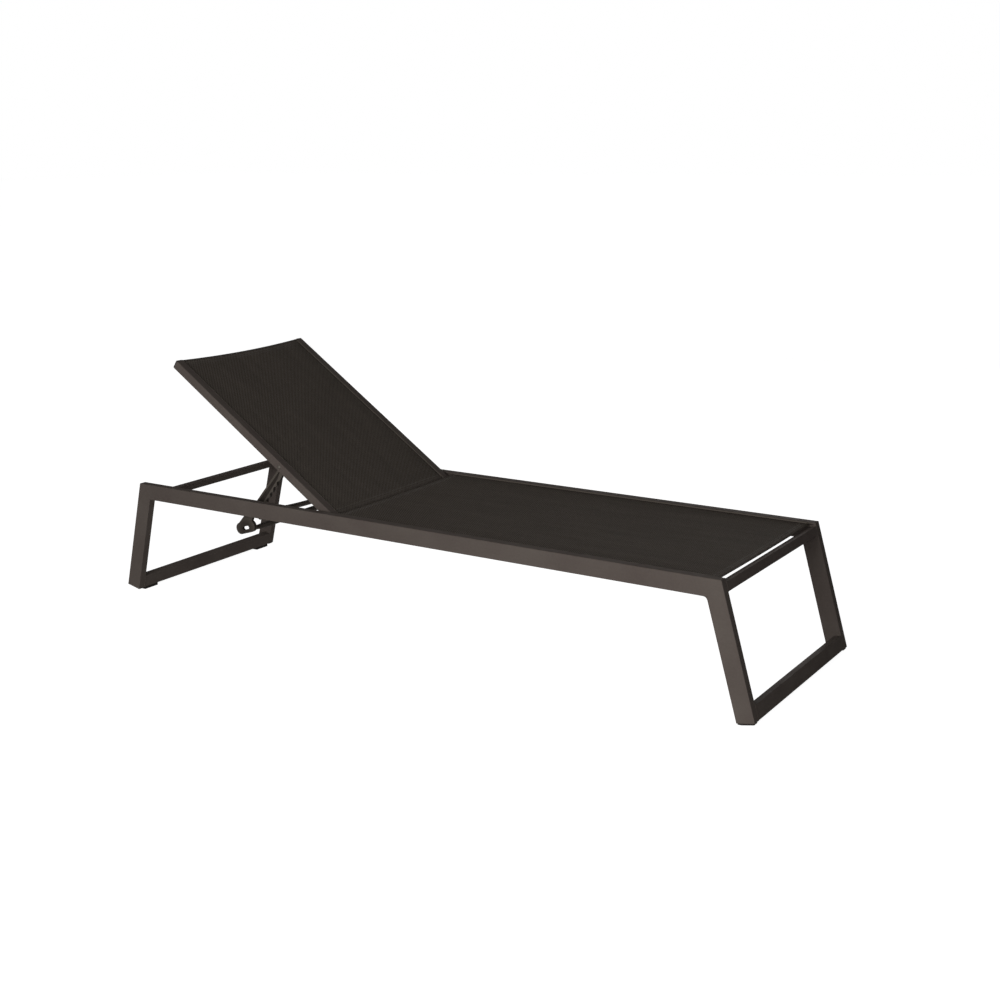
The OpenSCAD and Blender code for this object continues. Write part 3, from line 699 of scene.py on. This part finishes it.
def capsule(sides=6, rings=5):
    """An ellipsoid along its first axis: its points, its quads and the triangles at its tips.

    A point is (-cos p * length / 2, sin p cos t * thread, 0.8 sin p sin t * thread).
    """
    polar = np.linspace(0, np.pi, rings + 2)[1:-1, None]
    turn = np.linspace(0, 2 * np.pi, sides, endpoint=False)
    run = -np.cos(polar) * STITCH_LENGTH / 2 + 0 * turn
    wide = np.sin(polar) * np.cos(turn) * THREAD
    high = np.sin(polar) * np.sin(turn) * THREAD * 0.8
    points = np.stack([run.ravel(), wide.ravel(), high.ravel()], -1)
    tips = [[-STITCH_LENGTH / 2, 0, 0], [STITCH_LENGTH / 2, 0, 0]]
    first, last = rings * sides, rings * sides + 1
    k = np.arange(sides)
    after = (k + 1) % sides
    ends = np.concatenate([
        np.stack([np.full(sides, first), after, k], -1),
        np.stack([np.full(sides, last), first - sides + k, first - sides + after], -1)])
    return np.concatenate([points, tips]), grid_quads(rings, sides, False, True), ends


print("a stitch has", len(capsule()[0]), "points")

# %% Sew the hems
STITCH_ROWS = (0.55, 0.9)
PLAIN_ENDS = 2


def stitches(name, surface, length, half, body):
    """Two rows of capsules on each hem of a sling, set by arrays of places and lifts.

    The rows lie at STITCH_ROWS of the hem's width. Each capsule runs across the sling, and
    its height points along the surface normal there.
    """
    count = int(2 * half / STITCH_PITCH) - 2 * PLAIN_ENDS
    across = (np.arange(count) + PLAIN_ENDS + 0.5) * STITCH_PITCH / (2 * half)
    insets = np.array(STITCH_ROWS) * HEM / length
    rows = np.concatenate([insets, 1 - insets])
    along = np.repeat(rows, count)
    across = np.tile(across, len(rows))
    places = surface(along, across)
    slope = surface(along + SMALL_STEP, across) - surface(along - SMALL_STEP, across)
    lifts = np.cross(slope, ACROSS)
    lifts *= np.sign(lifts[:, 2:3])
    lifts /= np.linalg.norm(lifts, axis=1, keepdims=True)
    one, quads, ends = capsule()
    sideways = np.cross(ACROSS, lifts)
    points = (places[:, None] + one[None, :, :1] * ACROSS
              + one[None, :, 1:2] * sideways[:, None] + one[None, :, 2:] * lifts[:, None])
    step = len(one) * np.arange(len(places))[:, None, None]
    faces = (quads + step).reshape(-1, 4).tolist() + (ends + step).reshape(-1, 3).tolist()
    return close_and_orient(make_piece(name, points.reshape(-1, 3), faces, thread_finish,
                                       body))


seat_sewing = stitches("seat_stitches", seat_surface, seat_length, seat_half, "frame")
back_sewing = stitches("back_stitches", back_surface, back_length, back_half, "backrest")
tell(seat_sewing, back_sewing)

# %% [markdown]
# ### Welt rolls
# Where a sling dives into its channel, the sewn sleeve round the welt cord shows as a thin
# roll that fills the step up to the tube's face. It could be part of the sling's grid, but
# it is far rounder than the rest, so it is a rod of its own with round ends. Rods come back
# for the weld beads and the grip's sleeve, so the rod is a helper.

# %% A rod along a path


def tube(path, radius, sides, plane_normal, closed):
    """A round rod along a path that lies in a plane.

    Each ring is path + radius * (cos a * plane_normal + sin a * side), where side is square
    to the path within its plane. The ends of an open rod are left to close_and_orient.
    """
    if closed:
        tangent = np.roll(path, -1, 0) - np.roll(path, 1, 0)
    else:
        tangent = np.gradient(path, axis=0)
    tangent /= np.linalg.norm(tangent, axis=1, keepdims=True)
    side = np.cross(tangent, plane_normal)
    turn = np.linspace(0, 2 * np.pi, sides, endpoint=False)
    radius = np.broadcast_to(radius, (len(path),))[:, None, None]
    ring = np.cos(turn)[None, :, None] * plane_normal + np.sin(turn)[None, :, None] * side[:, None]
    points = (path[:, None] + radius * ring).reshape(-1, 3)
    return points, grid_quads(len(path), sides, closed, True)


print("a closed rod of 8 rings and 6 sides has", 8 * 6, "quads")

# %% Welt rolls
ROUND_END = 0.006
ROLL_SIDES, END_RINGS, MIDDLE_RINGS = 14, 12, 60


def welt_roll(name, start, end, lift, radius, body):
    """A cloth rod from start to end that rests on the sling, with round ends.

    t runs from -1 to 1 along the rod. The radius is full up to the last ROUND_END of it,
    then radius * sqrt(1 - p^2), where p runs from 0 to 1 over that last stretch.
    """
    t = np.concatenate([-1 + ROUND_END * np.linspace(0.02, 1, END_RINGS) ** 2,
                        np.linspace(-0.98, 0.98, MIDDLE_RINGS),
                        1 - ROUND_END * np.linspace(1, 0.02, END_RINGS) ** 2])
    p = np.clip((np.abs(t) - (1 - ROUND_END)) / ROUND_END, 0, 1)
    share = (t + 1) / 2
    points, faces = tube(start + share[:, None] * (end - start), radius * np.sqrt(1 - p ** 2),
                         ROLL_SIDES, lift, False)
    ring = np.linspace(0, 2 * np.pi * radius, ROLL_SIDES, endpoint=False)
    along = share * np.linalg.norm(end - start)
    metres = np.stack(np.broadcast_arrays(ring[None, :], along[:, None]), -1)
    return close_and_orient(make_piece(name, points, faces, sleeve_finish, body,
                                       metres.reshape(-1, 2)))


seat_rolls, back_rolls = [], []
back_front = back_range("back_tube_left", OUT_BACK)[1]
back_inner = float(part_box("back_tube_left")[0][1])
for side, sign in (("left", 1), ("right", -1)):
    radius = (rail_top - seat_high[2] - 0.3 * MM) / 2
    y, z = sign * (inner_y - radius), rail_top - 0.2 * MM - radius
    seat_rolls.append(welt_roll(
        "seat_roll_" + side, np.array([seat_low[0] + 2 * MM, y, z]),
        np.array([seat_high[0] - FOOT_TRIM - 2 * MM, y, z]), np.array([0, 0, 1.0]), radius,
        "frame"))
    radius = (back_front - back_out) / 2
    base = (back_origin + ACROSS * sign * (back_inner - radius)
            + OUT_BACK * (back_front - radius))
    back_rolls.append(welt_roll(
        "back_roll_" + side, base + UP_BACK * (back_start + 2 * MM),
        base + UP_BACK * (back_end - 1 * MM), OUT_BACK, radius, "backrest"))
tell(*seat_rolls, *back_rolls)

# %% [markdown]
# The slings are cloth. Each is held by two tubes, and its hems, stitches and welt rolls
# move with it.

print("two sheets, stretched between two tubes each")

# %% [markdown]
# ## Weld beads
# The frame is TIG welded, which leaves a bead like a row of overlapping coins. A bead could
# be a bump in the coating, but its outline would stay straight, so it is a rippled ring.
# Each ring follows the outline where a bar meets its side frame. The outline is found from
# the bar's own end: for each of many directions, the corner of the end that lies furthest
# that way. That needs no list of points and works for square and round bars alike.

# %% The outline of a bar's end
BEAD = 0.9 * MM
COIN = 3.2 * MM
RINGS_PER_COIN, BEAD_SIDES, DIRECTIONS = 4, 8, 120


def end_outline(name, y):
    """The outline of a part's end in the plane at y, evenly spaced along its length.

    Returns its points and how far round the outline each lies.
    """
    points = node_points(name)
    end = points[np.abs(points[:, 1] - y) < 0.3 * MM][:, [0, 2]]
    turn = np.linspace(0, 2 * np.pi, DIRECTIONS, endpoint=False)
    furthest = end[np.argmax(end @ np.array([np.cos(turn), np.sin(turn)]), axis=0)]
    step = np.linalg.norm(furthest - np.roll(furthest, 1, 0), axis=1)
    loop = furthest[step > 1e-6]
    loop = np.concatenate([loop, loop[:1]])
    distance = np.concatenate([[0], np.cumsum(np.linalg.norm(np.diff(loop, axis=0), axis=1))])
    rings = int(distance[-1] / (COIN / RINGS_PER_COIN))
    even = np.linspace(0, distance[-1], rings, endpoint=False)
    x, z = (np.interp(even, distance, loop[:, k]) for k in (0, 1))
    return np.stack([x, np.full_like(x, y), z], -1), even


print("a bead round the foot top bar has", len(end_outline("foot_top_bar", inner_y)[1]), "rings")

# %% Weld beads


def weld_beads(name, ends, body):
    """One piece holding a rippled ring at each named end.

    The radius follows |sin| along the outline, one hump for each coin of the bead.
    """
    all_points, all_faces, count = [], [], 0
    for node, y in ends:
        path, distance = end_outline(node, y)
        radius = BEAD * (0.86 + 0.14 * np.abs(np.sin(np.pi * distance / COIN)))
        points, faces = tube(path, radius, BEAD_SIDES, ACROSS, True)
        all_points.append(points)
        all_faces.append(faces + count)
        count += len(points)
    return close_and_orient(make_piece(
        name, np.concatenate(all_points), np.concatenate(all_faces), frame_finish, body))


cross_bars = ("head_bottom_bar", "foot_bottom_bar", "head_top_bar", "foot_top_bar",
              "catch_bar_tube", "seat_spreader_head", "seat_spreader_middle",
              "seat_spreader_foot")
back_bars = ("back_top_bar", "back_bottom_bar")
back_bar_y = float(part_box("back_top_bar")[1][1])
tell(weld_beads("frame_welds", [(bar, sign * inner_y) for bar in cross_bars
                                for sign in (-1, 1)], "frame"),
     weld_beads("back_welds", [(bar, sign * back_bar_y) for bar in back_bars
                               for sign in (-1, 1)], "backrest"))

# %% [markdown]
# ## Rounded caps
# The backrest tubes end in moulded caps with soft edges. A bevelled box would do, but a
# rounded block needs only one formula: a sphere whose eight octants are pushed apart to the
# corners of a smaller box. Only the plate outside the tube shows, so only that is made.

# %% Tube caps
CAP_PLATE = 4 * MM
CAP_ROUND = 1.9 * MM


def rounded_block(low, high, radius, axes, rings=20):
    """A block between two corners, given along three axes from the hinge, with round edges.

    A point is sign(d) * (half - radius) + radius * d for each direction d of a sphere.
    """
    low, high = np.array(low), np.array(high)
    polar = ((np.arange(rings) + 0.5) / rings * np.pi)[:, None]
    turn = (np.arange(2 * rings) + 0.5) / rings * np.pi
    d = np.stack([np.sin(polar) * np.cos(turn), np.sin(polar) * np.sin(turn),
                  np.cos(polar) + 0 * turn], -1)
    local = (low + high) / 2 + np.sign(d) * ((high - low) / 2 - radius) + radius * d
    return (back_origin + local.reshape(-1, 3) @ np.array(axes),
            grid_quads(rings, 2 * rings, False, True))


def tube_cap(node):
    """The visible plate of a cap: the cap's full section, CAP_PLATE thick along the tube."""
    top = back_range(node, UP_BACK)[1]
    back, front = back_range(node, OUT_BACK)
    low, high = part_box(node)
    points, faces = rounded_block((top - CAP_PLATE, low[1], back), (top, high[1], front),
                                  CAP_ROUND, (UP_BACK, ACROSS, OUT_BACK))
    cap = close_and_orient(make_piece(node + "_moulded", points, faces, foot_finish,
                                      "backrest"))
    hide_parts(node)
    return cap


tell(tube_cap("back_cap_left"), tube_cap("back_cap_right"))

# %% [markdown]
# ## Sleeve on the grip rod
# The rod between the two arms wears a dull plastic sleeve, so that it doesn't knock against
# the catch bar. It could be a cylinder with a bevel, but a shell turned about the rod's axis
# also takes the round ends and the shallow ripple where the sleeve grips the rod.

# %% Grip sleeve
SLEEVE_WALL = 2.2 * MM
SLEEVE_INSET = 10.6 * MM
SLEEVE_RINGS, SLEEVE_SIDES = 160, 28


def rod_sleeve(node):
    """A turned shell of radius * sqrt(1 - t^16) * (1 + 0.012 cos(40 pi t)).

    t runs from -1 to 1 along the sleeve, which stops SLEEVE_INSET short of the rod's ends.
    """
    low, high = (np.array(corner, float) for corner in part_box(node))
    radius = (high[0] - low[0]) / 2 + SLEEVE_WALL
    half = (high[1] - low[1]) / 2 - SLEEVE_INSET
    t = np.sin(np.linspace(-np.pi / 2, np.pi / 2, SLEEVE_RINGS)[1:-1])
    size = radius * np.sqrt(1 - t ** 16) * (1 + 0.012 * np.cos(40 * np.pi * t))
    path = (low + high) / 2 + t[:, None] * half * ACROSS
    points, faces = tube(path, size, SLEEVE_SIDES, np.array([1.0, 0, 0]), False)
    return close_and_orient(make_piece(node + "_sleeve", points, faces, arm_finish,
                                       "support_arms"))


tell(rod_sleeve("grip_rod"))

# %% [markdown]
# ## Floor and world
# The lounger stands in a white studio. If the floor and the world were bright enough to look
# white, they would wash out its dark colours, because they light it too. So they show white
# only to rays that see them directly: those of the camera, and mirrored and refracted ones.
# For all other rays they are dimmer. The floor is lit as well as glowing, so it keeps a soft
# shadow.

# %% Which rays see the background


def seen_directly(tree):
    """1 for rays that show the background: camera, glossy and transmission rays."""
    path = add_node(tree, "ShaderNodeLightPath")
    total = path.outputs["Is Camera Ray"]
    for name in ("Is Glossy Ray", "Is Transmission Ray"):
        total = add_node(tree, "ShaderNodeMath", {0: total, 1: path.outputs[name]},
                         operation="MAXIMUM").outputs[0]
    return total


print("the background shows white to camera, glossy and transmission rays")

# %% Floor
FLOOR_REACH = 40.0


def pale_floor():
    """Plain pale grey to most rays; half grey plus a glow of 0.94 to those that see it."""
    material = bpy.data.materials.new("studio_floor")
    material.use_nodes = True
    tree = material.node_tree
    tree.nodes.clear()
    plain = add_node(tree, "ShaderNodeBsdfDiffuse", {"Color": (0.75, 0.75, 0.75, 1)})
    shaded = add_node(tree, "ShaderNodeBsdfDiffuse", {"Color": (0.5, 0.5, 0.5, 1)})
    glow = add_node(tree, "ShaderNodeEmission", {"Color": (1, 1, 1, 1), "Strength": 0.94})
    white = add_node(tree, "ShaderNodeAddShader", {0: shaded.outputs[0], 1: glow.outputs[0]})
    mix = add_node(tree, "ShaderNodeMixShader",
                   {0: seen_directly(tree), 1: plain.outputs[0], 2: white.outputs[0]})
    add_node(tree, "ShaderNodeOutputMaterial", {"Surface": mix.outputs[0]})
    return material


floor_mesh = bpy.data.meshes.new("floor")
corners = [(-FLOOR_REACH, -FLOOR_REACH, 0), (FLOOR_REACH, -FLOOR_REACH, 0),
           (FLOOR_REACH, FLOOR_REACH, 0), (-FLOOR_REACH, FLOOR_REACH, 0)]
floor_mesh.from_pydata(corners, [], [(0, 1, 2, 3)])
floor_mesh.materials.append(pale_floor())
floor = bpy.data.objects.new("floor", floor_mesh)
bpy.context.scene.collection.objects.link(floor)
tell(floor)

# %% World
WORLD_LIGHT = 0.13
world = bpy.data.worlds.new("studio")
bpy.context.scene.world = world
world.use_nodes = True
sky_tree = world.node_tree
sky_tree.nodes.clear()
even = add_node(sky_tree, "ShaderNodeBackground",
                {"Color": (1, 1, 1, 1), "Strength": WORLD_LIGHT})
white = add_node(sky_tree, "ShaderNodeBackground", {"Color": (1, 1, 1, 1), "Strength": 1.0})
sky = add_node(sky_tree, "ShaderNodeMixShader",
               {0: seen_directly(sky_tree), 1: even.outputs[0], 2: white.outputs[0]})
add_node(sky_tree, "ShaderNodeOutputWorld", {"Surface": sky.outputs[0]})
print("world", len(sky_tree.nodes), "nodes")

# %% [markdown]
# ## Lamps
# A broad soft lamp stands low on the near side, as in a product studio: upright faces on
# that side are the brightest, and what faces up is darker. One lamp could do, but it would
# light both foot legs alike. So a small one stands close to the near foot leg, which makes
# it the palest part, and hardly reaches the far one. A weaker lamp stands low behind, so
# that the far side isn't lost in views from there. A lamp's power is worked out from the
# level that it should give at its target, so that moving it doesn't change the colours.

# %% Soft lamps


def soft_lamp(name, place, target, size, level):
    """A square lamp that lights a facing surface at the target to level, where 1 is full.

    A small lamp of power P gives P / (pi^2 * distance^2) there, which is solved for P.
    """
    place, target = np.array(place, float), np.array(target, float)
    data = bpy.data.lights.new(name, "AREA")
    data.shape = "SQUARE"
    data.size = size
    data.energy = level * math.pi ** 2 * float(np.sum((place - target) ** 2))
    lamp = bpy.data.objects.new(name, data)
    bpy.context.scene.collection.objects.link(lamp)
    direction = Vector((target - place).tolist())
    lamp.rotation_euler = direction.to_track_quat("-Z", "Y").to_euler()
    lamp.location = place.tolist()
    lamp.visible_camera = False
    print(name, "lamp", round(data.energy, 1), "W")


lit_place = (0.2, -0.3, 0.3)
soft_lamp("near_side", (0.3, -3.6, 1.05), lit_place, 1.7, 0.72)
soft_lamp("foot_side", (1.25, -1.3, 0.45), (0.95, -0.3, 0.2), 0.6, 0.24)
soft_lamp("far_side", (-0.4, 5.0, 0.3), lit_place, 2.2, 0.5)

# %% [markdown]
# ## Camera
# The camera stands to the right of the near side, about twice as high as the backrest. A
# constraint could aim it, but it would leave no roll. So its turns are three small angles,
# yaw, pitch and roll, and its three directions are worked out from them. The lens is given
# as a share of the sensor's width, which says how wide it sees.

# %% Camera
CAMERA_PLACE = (2.2171, -3.1721, 1.3202)
YAW, PITCH, ROLL = -0.58066, -0.24771, -0.01290
SENSOR_WIDTH = 36.0
FOCAL_SHARE = 1.4407

forward = np.array([math.cos(PITCH) * math.sin(YAW), math.cos(PITCH) * math.cos(YAW),
                    math.sin(PITCH)])
level_right = np.array([math.cos(YAW), -math.sin(YAW), 0.0])
level_up = np.cross(level_right, forward)
right = math.cos(ROLL) * level_right + math.sin(ROLL) * level_up
up = -math.sin(ROLL) * level_right + math.cos(ROLL) * level_up
camera_data = bpy.data.cameras.new("camera")
camera_data.sensor_width = SENSOR_WIDTH
camera_data.lens = SENSOR_WIDTH * FOCAL_SHARE
camera = bpy.data.objects.new("camera", camera_data)
bpy.context.scene.collection.objects.link(camera)
turned = np.eye(4)
turned[:3, 0], turned[:3, 1], turned[:3, 2] = right, up, -forward
turned[:3, 3] = CAMERA_PLACE
camera.matrix_world = Matrix(turned.tolist())
bpy.context.scene.camera = camera
bpy.context.scene.view_settings.view_transform = "Standard"
print("lens", round(camera_data.lens, 2), "mm")
